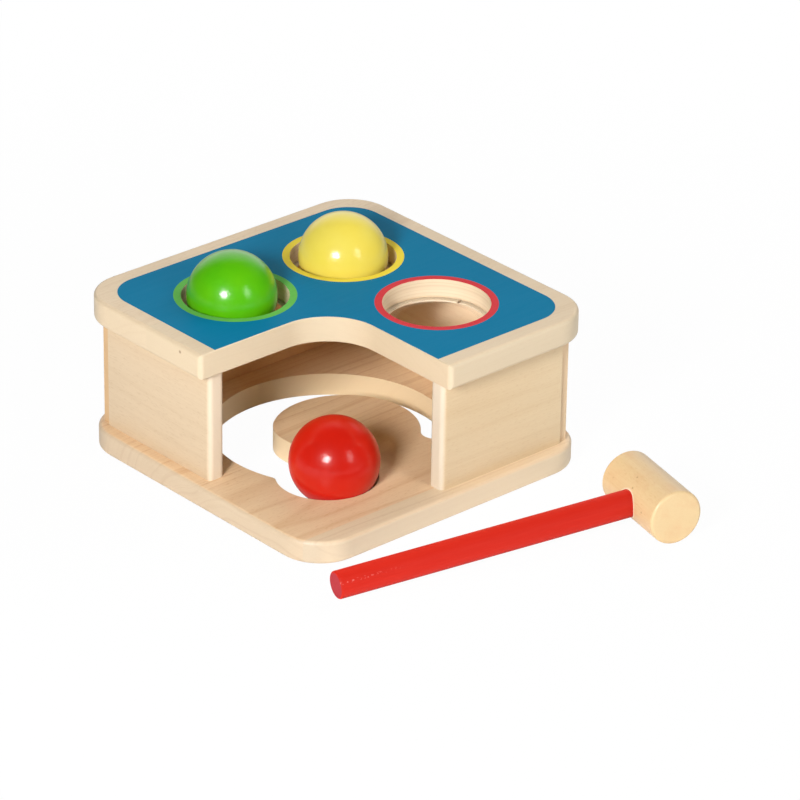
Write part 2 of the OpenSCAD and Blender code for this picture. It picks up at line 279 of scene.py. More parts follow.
def stave_number(tree, width, joint):
    """The number of the stave that a point lies in, counted along X from a glue joint. Sizes are in mm."""
    where = add_node(tree, "ShaderNodeTexCoord")
    across = add_node(tree, "ShaderNodeSeparateXYZ", {0: where.outputs["Object"]})
    place = add_node(tree, "ShaderNodeMath", {
        0: across.outputs["X"], 1: 1 / (width * MM), 2: -joint / width}, operation="MULTIPLY_ADD")
    return add_node(tree, "ShaderNodeMath", {0: place.outputs[0]}, operation="FLOOR").outputs[0]


def own_log(tree, log, number):
    """Moves each stave to another place in the tree, picked by a noise from its number."""
    lot = add_node(tree, "ShaderNodeTexWhiteNoise", {"W": number}, noise_dimensions="1D")
    return add_node(tree, "ShaderNodeVectorMath", {0: lot.outputs["Color"], 1: STAVE_SHIFT, 2: log},
                    operation="MULTIPLY_ADD").outputs[0]


print("staves are moved by up to", [round(v / MM) for v in STAVE_SHIFT], "mm")

# %% [markdown]
# ## Growth rings and cut ends
#
# A Wave Texture would space its rings evenly. Real ones are uneven, so a one-dimensional noise reads the
# distance from the heart, which a slower noise bends a little. Cut ends are greyer than the faces, and their
# lines are fainter. They are the faces whose normal runs along the fibres.

# %% Rings and ends
RING_GAP = 2.6
RING_WANDER = Vector((16, 16, 0)) * MM


def growth_rings(tree, log, slow, lines):
    """The rings' late wood, from 0 to lines. slow is the place in the log, squeezed along the fibres."""
    wander = add_node(tree, "ShaderNodeTexNoise", {
        "Vector": slow, "Scale": 1 / (38 * MM), "Detail": 2.0, "Roughness": 0.45})
    flat = add_node(tree, "ShaderNodeVectorMath", {0: log, 1: (1, 1, 0)}, operation="MULTIPLY")
    bent = add_node(tree, "ShaderNodeVectorMath", {
        0: wander.outputs["Color"], 1: RING_WANDER, 2: flat.outputs[0]}, operation="MULTIPLY_ADD")
    radius = add_node(tree, "ShaderNodeVectorMath", {0: bent.outputs[0]}, operation="LENGTH")
    rings = add_node(tree, "ShaderNodeTexNoise", {
        "W": radius.outputs["Value"], "Scale": 1 / (RING_GAP * MM), "Detail": 2.0, "Roughness": 0.6},
        noise_dimensions="1D")
    return add_node(tree, "ShaderNodeMapRange", {
        "Value": rings.outputs["Fac"], "From Min": 0.46, "From Max": 0.74, "To Min": 0.0, "To Max": lines},
        interpolation_type="SMOOTHSTEP").outputs[0]


def faces_along(tree, way, span, shares):
    """Goes from one share to the other as a face's normal turns along way or against it.

    span gives the cosines at which the change starts and ends.
    """
    facing = add_node(tree, "ShaderNodeNewGeometry")
    along = add_node(tree, "ShaderNodeVectorMath", {0: facing.outputs["Normal"], 1: way},
                     operation="DOT_PRODUCT")
    either = add_node(tree, "ShaderNodeMath", {0: along.outputs["Value"]}, operation="ABSOLUTE")
    return add_node(tree, "ShaderNodeMapRange", {
        "Value": either.outputs[0], "From Min": span[0], "From Max": span[1],
        "To Min": shares[0], "To Max": shares[1]}).outputs[0]


print("growth rings are some", RING_GAP, "mm apart")

# %% [markdown]
# ## Beech
#
# The colour of a board is a mix of a light and a dark tone. Rings, fibres, flecks and slow changes of tone
# add up to how deep the mix goes. The last three are noises squeezed along the fibres, so that they come out
# long and narrow. The fibres also give the lacquer its small changes of gloss and a faint relief. Each board
# has tones of its own. Part of that is wood from different trees, part is painted light and shade: the
# front-left panel is darker than the front-right one where the main lamp falls on it head-on, the back-left
# panel deeper and more orange as painted shade inside the box, and the back-right panel paler as painted
# light from the lamp's patch seen through the red hole.

# %% Grain
FIBRE_SHARE = 0.34
TONE_SHARE = 0.36
PALE_SHIFT = 0.15


def grain(tree, log, lines):
    """How deep the tone lies between a board's light and dark colour, from 0 to 1, and the fibres alone."""
    slow, long, short = [
        add_node(tree, "ShaderNodeVectorMath", {0: log, 1: (1, 1, 1 / times)},
                 operation="MULTIPLY").outputs[0] for times in (7, 30, 5)]
    # fibres, 0.8 mm wide and some 25 mm long: real ones are finer, and would not show
    fibres = add_node(tree, "ShaderNodeTexNoise", {
        "Vector": long, "Scale": 1 / (0.8 * MM), "Detail": 3.0, "Roughness": 0.6}).outputs["Fac"]
    # flecks, some 0.5 mm wide and 3 mm long, where the wood's rays end
    flecks = add_node(tree, "ShaderNodeTexNoise", {
        "Vector": short, "Scale": 1 / (0.55 * MM), "Detail": 1.0, "Roughness": 0.5})
    fleck = add_node(tree, "ShaderNodeMapRange", {
        "Value": flecks.outputs["Fac"], "From Min": 0.58, "From Max": 0.76, "To Min": 0.0, "To Max": 0.27})
    # slow changes of tone, some 25 mm across
    tones = add_node(tree, "ShaderNodeTexNoise", {
        "Vector": slow, "Scale": 1 / (25 * MM), "Detail": 2.0, "Roughness": 0.5})
    depth = growth_rings(tree, log, slow, lines)
    for part, share in ((fibres, FIBRE_SHARE), (tones.outputs["Fac"], TONE_SHARE), (fleck.outputs[0], 1.0)):
        depth = add_node(tree, "ShaderNodeMath", {0: part, 1: share, 2: depth},
                         operation="MULTIPLY_ADD").outputs[0]
    depth = add_node(tree, "ShaderNodeMath", {0: depth, 1: PALE_SHIFT}, operation="SUBTRACT", use_clamp=True)
    return depth.outputs[0], fibres


print("share of the fibres", FIBRE_SHARE, "- of slow tones", TONE_SHARE)

# %% Beech material
STAVE_TINT = 0.35


def beech(name, light, dark, cut_end, turned, heart, lines=0.16, gloss=0.42, stave=None):
    """Lacquered beech. turned is the turn from Z to the fibres, heart a point of the tree's middle, in mm.

    stave is a stave's width, the place of one glue joint along X, in mm, and the tint of the wood beyond it.
    """
    material, tree = empty_material(name)
    log = place_in_log(tree, turned, heart)
    if stave:
        width, joint, other_log = stave
        number = stave_number(tree, width, joint)
        log = own_log(tree, log, number)
    depth, fibres = grain(tree, log, lines)
    wood = add_node(tree, "ShaderNodeMix", {0: depth, 6: colour(light), 7: colour(dark)}, data_type="RGBA")
    if stave:
        # staves 0, 1 and so on lie beyond the joint
        beyond = add_node(tree, "ShaderNodeMath", {0: number, 1: -0.5}, operation="GREATER_THAN")
        tinted = add_node(tree, "ShaderNodeMath", {0: beyond.outputs[0], 1: STAVE_TINT}, operation="MULTIPLY")
        wood = add_node(tree, "ShaderNodeMix", {
            0: tinted.outputs[0], 6: wood.outputs[2], 7: colour(other_log)}, data_type="RGBA")
    fibre_way = Vector((0, 0, 1))
    fibre_way.rotate(turned)
    end_grain = faces_along(tree, fibre_way, span=(0.2, 0.72), shares=(0, 0.62))
    wood = add_node(tree, "ShaderNodeMix", {0: end_grain, 6: wood.outputs[2], 7: colour(cut_end)},
                    data_type="RGBA")
    rough = add_node(tree, "ShaderNodeMapRange", {
        "Value": fibres, "To Min": gloss - 0.06, "To Max": gloss + 0.10})
    relief = add_node(tree, "ShaderNodeBump", {"Height": fibres, "Strength": 0.25, "Distance": 0.03 * MM})
    lacquered = add_node(tree, "ShaderNodeBsdfPrincipled", {
        "Base Color": wood.outputs[2], "Roughness": rough.outputs[0], "IOR": 1.5,
        "Normal": relief.outputs[0]})
    add_node(tree, "ShaderNodeOutputMaterial", {"Surface": lacquered.outputs[0]})
    return material


print("wood beyond a glue joint is tinted by", STAVE_TINT)

# %% Beech of each board
ALONG_X = Euler((0, math.radians(90), 0))
ALONG_Y = Euler((math.radians(-90), 0, 0))
ALONG_Z = Euler((0, 0, 0))
# Beyond the glue joint at 78 mm the base is tinted greyer: partly another stave, partly painted light, the
# washed-out look of its lit right side
base_beech = beech("lacquered_beech_base", "#F6D7B0", "#CF9C68", "#BDB09B", ALONG_Y, heart=(85, 0, -90),
                   lines=0.32, stave=(75, 78, "#D6CDB6"))
roof_beech = beech("lacquered_beech_roof", "#F7E1C1", "#D3AE82", "#CCB99B", ALONG_Y, heart=(60, 0, -60),
                   stave=(62, -35, "#E0CBA9"))
# painted shade: darker tones than the right panel's, where the main lamp falls head-on
left_beech = beech("lacquered_beech_left_panel", "#D8C2A3", "#BA9A74", "#E3D6C1", ALONG_X,
                   heart=(0, -190, -40), lines=0.11)
right_beech = beech("lacquered_beech_right_panel", "#E2CEAA", "#C7A578", "#DBD3C4", ALONG_Y,
                    heart=(210, 0, -30), lines=0.11)
# painted shade: deeper, more orange tones for the shaded inside of the box
back_left_beech = beech("lacquered_beech_back_left_panel", "#EDC28D", "#CC9862", "#C0A079", ALONG_Y,
                        heart=(-170, 0, 20))
# painted light: paler tones for the lamp's patch seen through the red hole
back_right_beech = beech("lacquered_beech_back_right_panel", "#FFE8C6", "#E6C195", "#CDB08A", ALONG_X,
                         heart=(0, 150, -90))
hoop_beech = beech("bent_beech_hoop", "#F8E8CE", "#E6CAA2", "#F0DEC2", ALONG_X, heart=(0, 0, 0), lines=0.06)
dowel_beech = beech("fluted_beech_dowel", "#DDB884", "#B98B56", "#CBA877", ALONG_Z, heart=(30, 40, 0))
print("beech:", [m.name for m in bpy.data.materials if "beech" in m.name])

# %% [markdown]
# ## Marks on the roof
#
# The roof's edges that run along its fibres are planed, and a little darker than its top. The walls of the
# three holes are pale: partly fresh wood, partly painted light where the lamp shines into the holes. The
# cutter has left faint lines on them. The roof's left edge has one pin knot, a brown dot less than 2 mm
# across.
#
# Separate pieces would stand out from the board. All of these are marks on its own surface, so they go into
# its material, one over the other: the edges by their direction, the pale wood where a point is as near to a
# hole's axis as its wall is, the lines on it by height, and the knot by the distance from its place.

# %% Planed edges of the roof
def mark_wood(material, share, tint):
    """Lays a tint over the colour that a wood has so far, as strongly as share says at each point."""
    tree = material.node_tree
    face = tree.nodes["Principled BSDF"].inputs["Base Color"]
    below = face.links[0].from_socket
    marked = add_node(tree, "ShaderNodeMix", {0: share, 6: below, 7: colour(tint)}, data_type="RGBA")
    tree.links.new(marked.outputs[2], face)
    print("marked", material.name, "with", tint)


tree = roof_beech.node_tree
planed = faces_along(tree, (1, 0, 0), span=(0.2, 0.85), shares=(0, 0.62))
mark_wood(roof_beech, planed, "#CBBDA2")

# %% Drilled walls of the roof
HOLE_AT = {"green": (-35, -35), "yellow": (-35, 35), "red": (35, 35)}
WALL_FROM_AXIS = (26.9, 27.2)
FRESH_AND_LIT_SHARE = 0.8
FAR_AWAY = 1.0
where = add_node(tree, "ShaderNodeTexCoord")
plan = add_node(tree, "ShaderNodeVectorMath", {0: where.outputs["Object"], 1: (1, 1, 0)},
                operation="MULTIPLY")
nearest = FAR_AWAY
for x, y in HOLE_AT.values():
    apart = add_node(tree, "ShaderNodeVectorMath", {0: plan.outputs[0], 1: (x * MM, y * MM, 0)},
                     operation="DISTANCE")
    nearest = add_node(tree, "ShaderNodeMath", {0: apart.outputs["Value"], 1: nearest},
                       operation="MINIMUM").outputs[0]
on_wall = add_node(tree, "ShaderNodeMapRange", {
    "Value": nearest, "From Min": WALL_FROM_AXIS[0] * MM, "From Max": WALL_FROM_AXIS[1] * MM,
    "To Min": 1.0, "To Max": 0.0})
fresh_cut_and_lit = add_node(tree, "ShaderNodeMath", {0: on_wall.outputs[0], 1: FRESH_AND_LIT_SHARE}, operation="MULTIPLY")
# paler hole walls: partly fresh wood, partly painted light from the lamp shining into the holes
mark_wood(roof_beech, fresh_cut_and_lit.outputs[0], "#FBE7C8")

# %% Cutter lines on the drilled walls
level = add_node(tree, "ShaderNodeSeparateXYZ", {0: where.outputs["Object"]})
cutter = add_node(tree, "ShaderNodeTexNoise", {
    "W": level.outputs["Z"], "Scale": 1 / (1.4 * MM), "Detail": 2.0, "Roughness": 0.6},
    noise_dimensions="1D")
line = add_node(tree, "ShaderNodeMapRange", {
    "Value": cutter.outputs["Fac"], "From Min": 0.45, "From Max": 0.75, "To Min": 0.0, "To Max": 0.5})
line = add_node(tree, "ShaderNodeMath", {0: line.outputs[0], 1: on_wall.outputs[0]}, operation="MULTIPLY")
mark_wood(roof_beech, line.outputs[0], "#CBA678")

# %% Pin knot
KNOT_AT = Vector((-9.1, -91, 80.4)) * MM
apart = add_node(tree, "ShaderNodeVectorMath", {0: where.outputs["Object"], 1: KNOT_AT}, operation="DISTANCE")
knot = add_node(tree, "ShaderNodeMapRange", {
    "Value": apart.outputs["Value"], "From Min": 0.4 * MM, "From Max": 1.1 * MM,
    "To Min": 0.8, "To Max": 0.0})
mark_wood(roof_beech, knot.outputs[0], "#8A6644")

# %% [markdown]
# ## Marks on the base
#
# The base's edges along its fibres are planed too, and paler and greyer than its top: partly planed wood,
# partly painted light, as brightly lit upright faces look. So are the walls of its slot, where the cutter has
# bared fresh wood. Their paleness is partly painted light too, for light that the lamps don't bring into the
# slot. Those walls are upright faces, as the board's edges are, but they lie nearer to the middle, so the
# distance from there tells them apart.

# %% Edges and slot of the base
SLOT_FROM_MIDDLE = (85, 87)
tree = base_beech.node_tree
planed = faces_along(tree, (1, 0, 0), span=(0.75, 0.97), shares=(0, 0.7))
# painted light in part: the planed edges are paler and greyer, as brightly lit upright faces look
mark_wood(base_beech, planed, "#E1D2B6")
where = add_node(tree, "ShaderNodeTexCoord")
plan = add_node(tree, "ShaderNodeVectorMath", {0: where.outputs["Object"], 1: (1, 1, 0)},
                operation="MULTIPLY")
away = add_node(tree, "ShaderNodeVectorMath", {0: plan.outputs[0]}, operation="LENGTH")
inside = add_node(tree, "ShaderNodeMapRange", {
    "Value": away.outputs["Value"], "From Min": SLOT_FROM_MIDDLE[0] * MM,
    "From Max": SLOT_FROM_MIDDLE[1] * MM, "To Min": 0.76, "To Max": 0.0})
upright = faces_along(tree, (0, 0, 1), span=(0.3, 0.7), shares=(1, 0))
fresh_cut_and_lit = add_node(tree, "ShaderNodeMath", {0: inside.outputs[0], 1: upright}, operation="MULTIPLY")
# painted light in part: the slot's walls are paler than fresh wood alone, for light the lamps don't bring in
mark_wood(base_beech, fresh_cut_and_lit.outputs[0], "#F6DCB2")

# %% [markdown]
# ## The mallet's head
#
# The head lies askew on the table, so its fibres run along its own turned axis. Its lacquer is glossier and
# yellower than the toy's, with pink blotches, a few dark pores and a pale rim of bare wood where the handle
# enters. Blotches and pores are a noise and a cell pattern. The rim is found by the distance from the
# handle's axis, on the side where the handle is.

# %% Mallet head
MALLET_YAW = math.radians(-14)
HEAD_RADIUS = 14
HANDLE_RADIUS = 6.9
HANDLE_REACH = 171
MALLET_TILT = math.asin((HEAD_RADIUS - HANDLE_RADIUS) / HANDLE_REACH)
HEAD_MIDDLE = (155, 68.5, HEAD_RADIUS)
head_turn = Euler((0, math.radians(90), MALLET_YAW))
handle_turn = Euler((math.radians(90) + MALLET_TILT, 0, MALLET_YAW))
head_beech = beech("glossy_lacquered_beech_mallet", "#EACD9D", "#CFA36D", "#DDC293", head_turn,
                   heart=(150, 60, -14), lines=0.08, gloss=0.30)
print("handle rises by", round(math.degrees(MALLET_TILT), 2), "degrees to the head")

# %% Blotches and pores of the head
tree = head_beech.node_tree
along = place_in_log(tree, handle_turn, HEAD_MIDDLE)
blotch = add_node(tree, "ShaderNodeTexNoise", {
    "Vector": along, "Scale": 1 / (9 * MM), "Detail": 3.0, "Roughness": 0.6})
pink = add_node(tree, "ShaderNodeMapRange", {
    "Value": blotch.outputs["Fac"], "From Min": 0.48, "From Max": 0.72, "To Min": 0.0, "To Max": 0.30})
mark_wood(head_beech, pink.outputs[0], "#D9A577")
cells = add_node(tree, "ShaderNodeTexVoronoi", {"Vector": along, "Scale": 1 / (8 * MM)})
pore = add_node(tree, "ShaderNodeMapRange", {
    "Value": cells.outputs["Distance"], "From Min": 0.04, "From Max": 0.09, "To Min": 0.55, "To Max": 0.0})
mark_wood(head_beech, pore.outputs[0], "#96693F")

# %% Pale rim round the handle
RIM_FROM_AXIS = (HANDLE_RADIUS + 0.3, HANDLE_RADIUS + 1.0)
from_axis = add_node(tree, "ShaderNodeVectorMath", {0: along, 1: (1, 1, 0)}, operation="MULTIPLY")
from_axis = add_node(tree, "ShaderNodeVectorMath", {0: from_axis.outputs[0]}, operation="LENGTH")
rim = add_node(tree, "ShaderNodeMapRange", {
    "Value": from_axis.outputs["Value"], "From Min": RIM_FROM_AXIS[0] * MM,
    "From Max": RIM_FROM_AXIS[1] * MM, "To Min": 0.7, "To Max": 0.0})
front = add_node(tree, "ShaderNodeSeparateXYZ", {0: along})
front = add_node(tree, "ShaderNodeMath", {0: front.outputs["Z"], 1: 0.0}, operation="GREATER_THAN")
rim = add_node(tree, "ShaderNodeMath", {0: rim.outputs[0], 1: front.outputs[0]}, operation="MULTIPLY")
mark_wood(head_beech, rim.outputs[0], "#FBEBD2")

# %% [markdown]
# ## The mallet's handle
#
# The handle is a stained dowel. Its side is an even red, rubbed so matt that it looks nearly flat, and its
# sawn end has drunk the stain, so it is duller and pinker there. A second material on that end would need
# its faces picked by hand. Here the end is found by its direction: the face's normal runs along the handle.
#
# A row of tiny pale pink specks near the free end is a painted highlight: glints of the main lamp, broken up
# by the stain's grain. It is a narrow line along the dowel, broken up by a noise, on one side only and fading
# out from the end.

# %% Handle stain
handle_way = Vector((0, 0, 1))
handle_way.rotate(handle_turn)
handle_stain, tree = empty_material("brushed_red_stain_handle")
along = place_in_log(tree, handle_turn, HEAD_MIDDLE)
sawn_end = faces_along(tree, handle_way, span=(0.94, 0.99), shares=(0, 1))
strands = add_node(tree, "ShaderNodeVectorMath", {0: along, 1: (1, 1, 1 / 30)}, operation="MULTIPLY")
fibres = add_node(tree, "ShaderNodeTexNoise", {
    "Vector": strands.outputs[0], "Scale": 1 / (0.6 * MM), "Detail": 2.0, "Roughness": 0.55})
grit = add_node(tree, "ShaderNodeTexNoise", {
    "Vector": along, "Scale": 1 / (1.1 * MM), "Detail": 2.0, "Roughness": 0.6})
side_red = add_node(tree, "ShaderNodeMix", {
    0: fibres.outputs["Fac"], 6: colour("#C72C1E"), 7: colour("#C02113")}, data_type="RGBA")
end_red = add_node(tree, "ShaderNodeMix", {
    0: grit.outputs["Fac"], 6: colour("#AE3239"), 7: colour("#9A282E")}, data_type="RGBA")
red = add_node(tree, "ShaderNodeMix", {0: sawn_end, 6: side_red.outputs[2], 7: end_red.outputs[2]},
               data_type="RGBA")
rough = add_node(tree, "ShaderNodeMapRange", {"Value": sawn_end, "To Min": 0.55, "To Max": 0.66})
both = add_node(tree, "ShaderNodeMath", {0: fibres.outputs["Fac"], 1: grit.outputs["Fac"]}, operation="ADD")
relief = add_node(tree, "ShaderNodeBump", {
    "Height": both.outputs[0], "Strength": 0.35, "Distance": 0.03 * MM})
stained = add_node(tree, "ShaderNodeBsdfPrincipled", {
    "Base Color": red.outputs[2], "Roughness": rough.outputs[0], "IOR": 1.5, "Specular IOR Level": 0.15,
    "Diffuse Roughness": 1.0, "Normal": relief.outputs[0]})
add_node(tree, "ShaderNodeOutputMaterial", {"Surface": stained.outputs[0]})
print("handle runs along", [round(v, 3) for v in handle_way])

# %% Painted glints on the handle
# painted highlight: the line lies where the main lamp's glint runs along the handle
GLINT_ANGLE = math.radians(34)
GLINT_LENGTH = (136, 165)
glint_way = Vector((math.cos(GLINT_ANGLE), math.sin(GLINT_ANGLE), 0))
beside_way = Vector((-glint_way.y, glint_way.x, 0))
beside = add_node(tree, "ShaderNodeVectorMath", {0: along, 1: beside_way}, operation="DOT_PRODUCT")
beside = add_node(tree, "ShaderNodeMath", {0: beside.outputs["Value"]}, operation="ABSOLUTE")
narrow = add_node(tree, "ShaderNodeMapRange", {
    "Value": beside.outputs[0], "From Min": 0.3 * MM, "From Max": 0.9 * MM, "To Min": 0.30, "To Max": 0.0})
this_side = add_node(tree, "ShaderNodeVectorMath", {0: along, 1: glint_way}, operation="DOT_PRODUCT")
this_side = add_node(tree, "ShaderNodeMath", {0: this_side.outputs["Value"], 1: 0.0},
                     operation="GREATER_THAN")
length = add_node(tree, "ShaderNodeSeparateXYZ", {0: along})
near_end = add_node(tree, "ShaderNodeMapRange", {
    "Value": length.outputs["Z"], "From Min": GLINT_LENGTH[0] * MM, "From Max": GLINT_LENGTH[1] * MM})
unsawn = add_node(tree, "ShaderNodeMapRange", {"Value": sawn_end, "To Min": 1.0, "To Max": 0.0})
glint_noise = add_node(tree, "ShaderNodeTexNoise", {
    "Vector": along, "Scale": 1 / (1.2 * MM), "Detail": 1.0, "Roughness": 0.5})
painted_glint = add_node(tree, "ShaderNodeMapRange", {
    "Value": glint_noise.outputs["Fac"], "From Min": 0.56, "From Max": 0.64})
for part in (narrow, this_side, near_end, unsawn):
    painted_glint = add_node(tree, "ShaderNodeMath", {0: painted_glint.outputs[0], 1: part.outputs[0]}, operation="MULTIPLY")
# painted highlight: pale pink glints of the main lamp, not worn wood
mark_wood(handle_stain, painted_glint.outputs[0], "#EFA79E")

# %% [markdown]
# ## Dipped paint on the balls
#
# The balls are turned from wood, sealed and dipped in gloss paint under a clear coat, which dries with a
# faint orange peel: low waves a few millimetres wide. The wood's grit below it breaks up the edge of a lamp's
# reflection. A mirror-smooth ball would look like plastic. Two bumps do this. The peel bends paint and coat,
# the grit only the coat, because on the paint it would look like coarse sand.
#
# Handling rubs the paint. The more a ball is rubbed, the more evenly it scatters light, up to its edge, which
# is what Diffuse Roughness does. The red ball is rubbed most, so its coat is weaker too.

# %% Ball paints
def dipped_paint(name, face, deep, coat, rubbed):
    """Paint over a turned ball. coat is the clear coat's weight, rubbed how chalky the paint has grown."""
    material, tree = empty_material(name)
    where = add_node(tree, "ShaderNodeTexCoord")
    cloud = add_node(tree, "ShaderNodeTexNoise", {
        "Vector": where.outputs["Object"], "Scale": 1 / (14 * MM), "Detail": 2.0, "Roughness": 0.5})
    paint = add_node(tree, "ShaderNodeMix", {0: cloud.outputs["Fac"], 6: colour(face), 7: colour(deep)},
                     data_type="RGBA")
    peel = add_node(tree, "ShaderNodeTexNoise", {
        "Vector": where.outputs["Object"], "Scale": 1 / (2.2 * MM), "Detail": 2.0, "Roughness": 0.5})
    grit = add_node(tree, "ShaderNodeTexNoise", {
        "Vector": where.outputs["Object"], "Scale": 1 / (1.0 * MM), "Detail": 1.0, "Roughness": 0.5})
    waves = add_node(tree, "ShaderNodeBump", {
        "Height": peel.outputs["Fac"], "Strength": 0.5, "Distance": 0.14 * MM})
    gritty = add_node(tree, "ShaderNodeBump", {
        "Height": grit.outputs["Fac"], "Strength": 0.5, "Distance": 0.10 * MM, "Normal": waves.outputs[0]})
    rough = add_node(tree, "ShaderNodeMapRange", {
        "Value": grit.outputs["Fac"], "To Min": 0.35, "To Max": 0.45})
    dipped = add_node(tree, "ShaderNodeBsdfPrincipled", {
        "Base Color": paint.outputs[2], "Roughness": rough.outputs[0], "IOR": 1.5,
        "Normal": waves.outputs[0], "Specular IOR Level": 0.1, "Diffuse Roughness": rubbed,
        "Coat Weight": coat, "Coat Roughness": 0.18, "Coat IOR": 1.5, "Coat Normal": gritty.outputs[0]})
    add_node(tree, "ShaderNodeOutputMaterial", {"Surface": dipped.outputs[0]})
    return material


ball_paints = {
    "green_ball": dipped_paint("dipped_green_gloss_paint", "#60B404", "#45AA08", coat=0.8, rubbed=0.1),
    "yellow_ball": dipped_paint("dipped_yellow_gloss_paint", "#E6D660", "#E5CF4C", coat=0.8, rubbed=0.4),
    "red_ball": dipped_paint("dipped_red_gloss_paint", "#C41D0D", "#BB190A", coat=0.5, rubbed=0.9),
}
print("paints:", [m.name for m in ball_paints.values()])

# %% [markdown]
# ## The clear washers
#
# A held ball sits on a washer of clear soft plastic in the rebate of its hole. Thin clear plastic hardly
# shows, and lamplight passes it to the wood below. Refracting glass would cast a dark shadow there, because
# the lamp's light isn't traced through a bent path. So the washer is a thin veil: mostly see-through, a
# little denser where the moulding is hazy.

# %% Washer material
clear_vinyl, tree = empty_material("moulded_clear_soft_vinyl")
where = add_node(tree, "ShaderNodeTexCoord")
haze = add_node(tree, "ShaderNodeTexNoise", {
    "Vector": where.outputs["Object"], "Scale": 1 / (2.5 * MM), "Detail": 2.0, "Roughness": 0.5})
veil = add_node(tree, "ShaderNodeMapRange", {"Value": haze.outputs["Fac"], "To Min": 0.01, "To Max": 0.04})
clear = add_node(tree, "ShaderNodeBsdfPrincipled", {
    "Base Color": colour("#F6F2EA"), "Roughness": 0.12, "IOR": 1.41, "Alpha": veil.outputs[0]})
add_node(tree, "ShaderNodeOutputMaterial", {"Surface": clear.outputs[0]})
print("washer material:", clear_vinyl.name)

# %% [markdown]
# ## The washers' shape
#
# The solid washer lies flat on the hoop below it, and two faces in one plane flicker in a render. So each is
# spun anew from its section, with rounded edges and a hair's breadth less height. A vertex bevel rounds the
# section's four corners, and the spin turns its outline once round the hole's axis.

# %% Spin the washers
WASHER_HOLE = 20.7 * MM
WASHER_ROUND = 0.25 * MM
HAIR = 0.04 * MM
RIM_ROOM = 0.05 * MM
for tint in HOLE_AT:
    low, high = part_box(tint + "_hole_washer")
    rim = (high.x - low.x) / 2 - RIM_ROOM
    bottom, top = low.z + HAIR, high.z - HAIR
    section = [(WASHER_HOLE, bottom), (rim, bottom), (rim, top), (WASHER_HOLE, top)]
    bm = bmesh.new()
    corners = [bm.verts.new((r, 0, z)) for r, z in section]
    bm.faces.new(corners)
    bmesh.ops.bevel(bm, geom=corners, offset=WASHER_ROUND, offset_type="OFFSET", affect="VERTICES",
                    segments=4, profile=0.5, material=-1)
    bmesh.ops.delete(bm, geom=bm.faces[:], context="FACES_ONLY")
    bmesh.ops.spin(bm, geom=bm.verts[:] + bm.edges[:], cent=(0, 0, 0), axis=(0, 0, 1), angle=2 * math.pi,
                   steps=128, use_merge=True)
    bmesh.ops.translate(bm, vec=((low.x + high.x) / 2, (low.y + high.y) / 2, 0), verts=bm.verts[:])
    bmesh.ops.remove_doubles(bm, verts=bm.verts[:], dist=0.001 * MM)
    bmesh.ops.recalc_face_normals(bm, faces=bm.faces[:])
    for face in bm.faces:
        face.smooth = True
    mesh = bpy.data.meshes.new(tint + "_clear_washer")
    bm.to_mesh(mesh)
    bm.free()
    mesh.materials.append(clear_vinyl)
    washer = bpy.data.objects.new(mesh.name, mesh)
    bpy.context.scene.collection.objects.link(washer)
    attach(washer, "toy")
    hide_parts(tint + "_hole_washer")
    print(washer.name, len(mesh.polygons), "faces,", round(2 * rim / MM, 1), "mm across")

# %% [markdown]
# ## Each solid gets its finish
#
# The solids' shapes are right as they are, so they stay. Only their material slots change.

# %% Dress the solids
finishes = {
    "base_board": base_beech, "roof_board": roof_beech,
    "front_left_panel": left_beech, "front_right_panel": right_beech,
    "back_left_panel": back_left_beech, "back_right_panel": back_right_beech,
    "mallet_head": head_beech, "mallet_handle": handle_stain, **ball_paints,
}
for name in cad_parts:
    if name.endswith("_dowels"):
        finishes[name] = dowel_beech
    elif name.endswith("_washer"):
        finishes[name] = clear_vinyl
    elif name.endswith("_hoop"):
        finishes[name] = hoop_beech
for name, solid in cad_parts.items():
    solid.material_slots[0].material = finishes[name]
print("dressed", len(finishes), "of", len(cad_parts), "solids")

# %% [markdown]
# ## Screen-printed inks
#
# The roof carries a printed blue field and one ring of ink round each hole, in its ball's colour. Screen ink
# dries to an even, nearly matt film that follows the wood's fibres a little, so it gets a faint relief along
# them, small changes of tone and only a weak reflection.

# %% Ink materials
def screen_ink(name, face, deep):
    """An even ink film over beech whose fibres run along Y."""
    material, tree = empty_material(name)
    where = add_node(tree, "ShaderNodeTexCoord")
    strands = add_node(tree, "ShaderNodeVectorMath", {0: where.outputs["Object"], 1: (1, 1 / 25, 1)},
                       operation="MULTIPLY")
    fibres = add_node(tree, "ShaderNodeTexNoise", {
        "Vector": strands.outputs[0], "Scale": 1 / (0.9 * MM), "Detail": 2.0,
        "Roughness": 0.6}).outputs["Fac"]
    cloud = add_node(tree, "ShaderNodeTexNoise", {
        "Vector": where.outputs["Object"], "Scale": 1 / (40 * MM), "Detail": 2.0, "Roughness": 0.5})
    tint = add_node(tree, "ShaderNodeMath", {0: fibres, 1: cloud.outputs["Fac"]}, operation="MULTIPLY")
    ink = add_node(tree, "ShaderNodeMix", {0: tint.outputs[0], 6: colour(face), 7: colour(deep)},
                   data_type="RGBA")
    relief = add_node(tree, "ShaderNodeBump", {"Height": fibres, "Strength": 0.3, "Distance": 0.03 * MM})
    rough = add_node(tree, "ShaderNodeMapRange", {"Value": fibres, "To Min": 0.46, "To Max": 0.58})
    printed = add_node(tree, "ShaderNodeBsdfPrincipled", {
        "Base Color": ink.outputs[2], "Roughness": rough.outputs[0], "IOR": 1.48, "Specular IOR Level": 0.08,
        "Normal": relief.outputs[0]})
    add_node(tree, "ShaderNodeOutputMaterial", {"Surface": printed.outputs[0]})
    return material


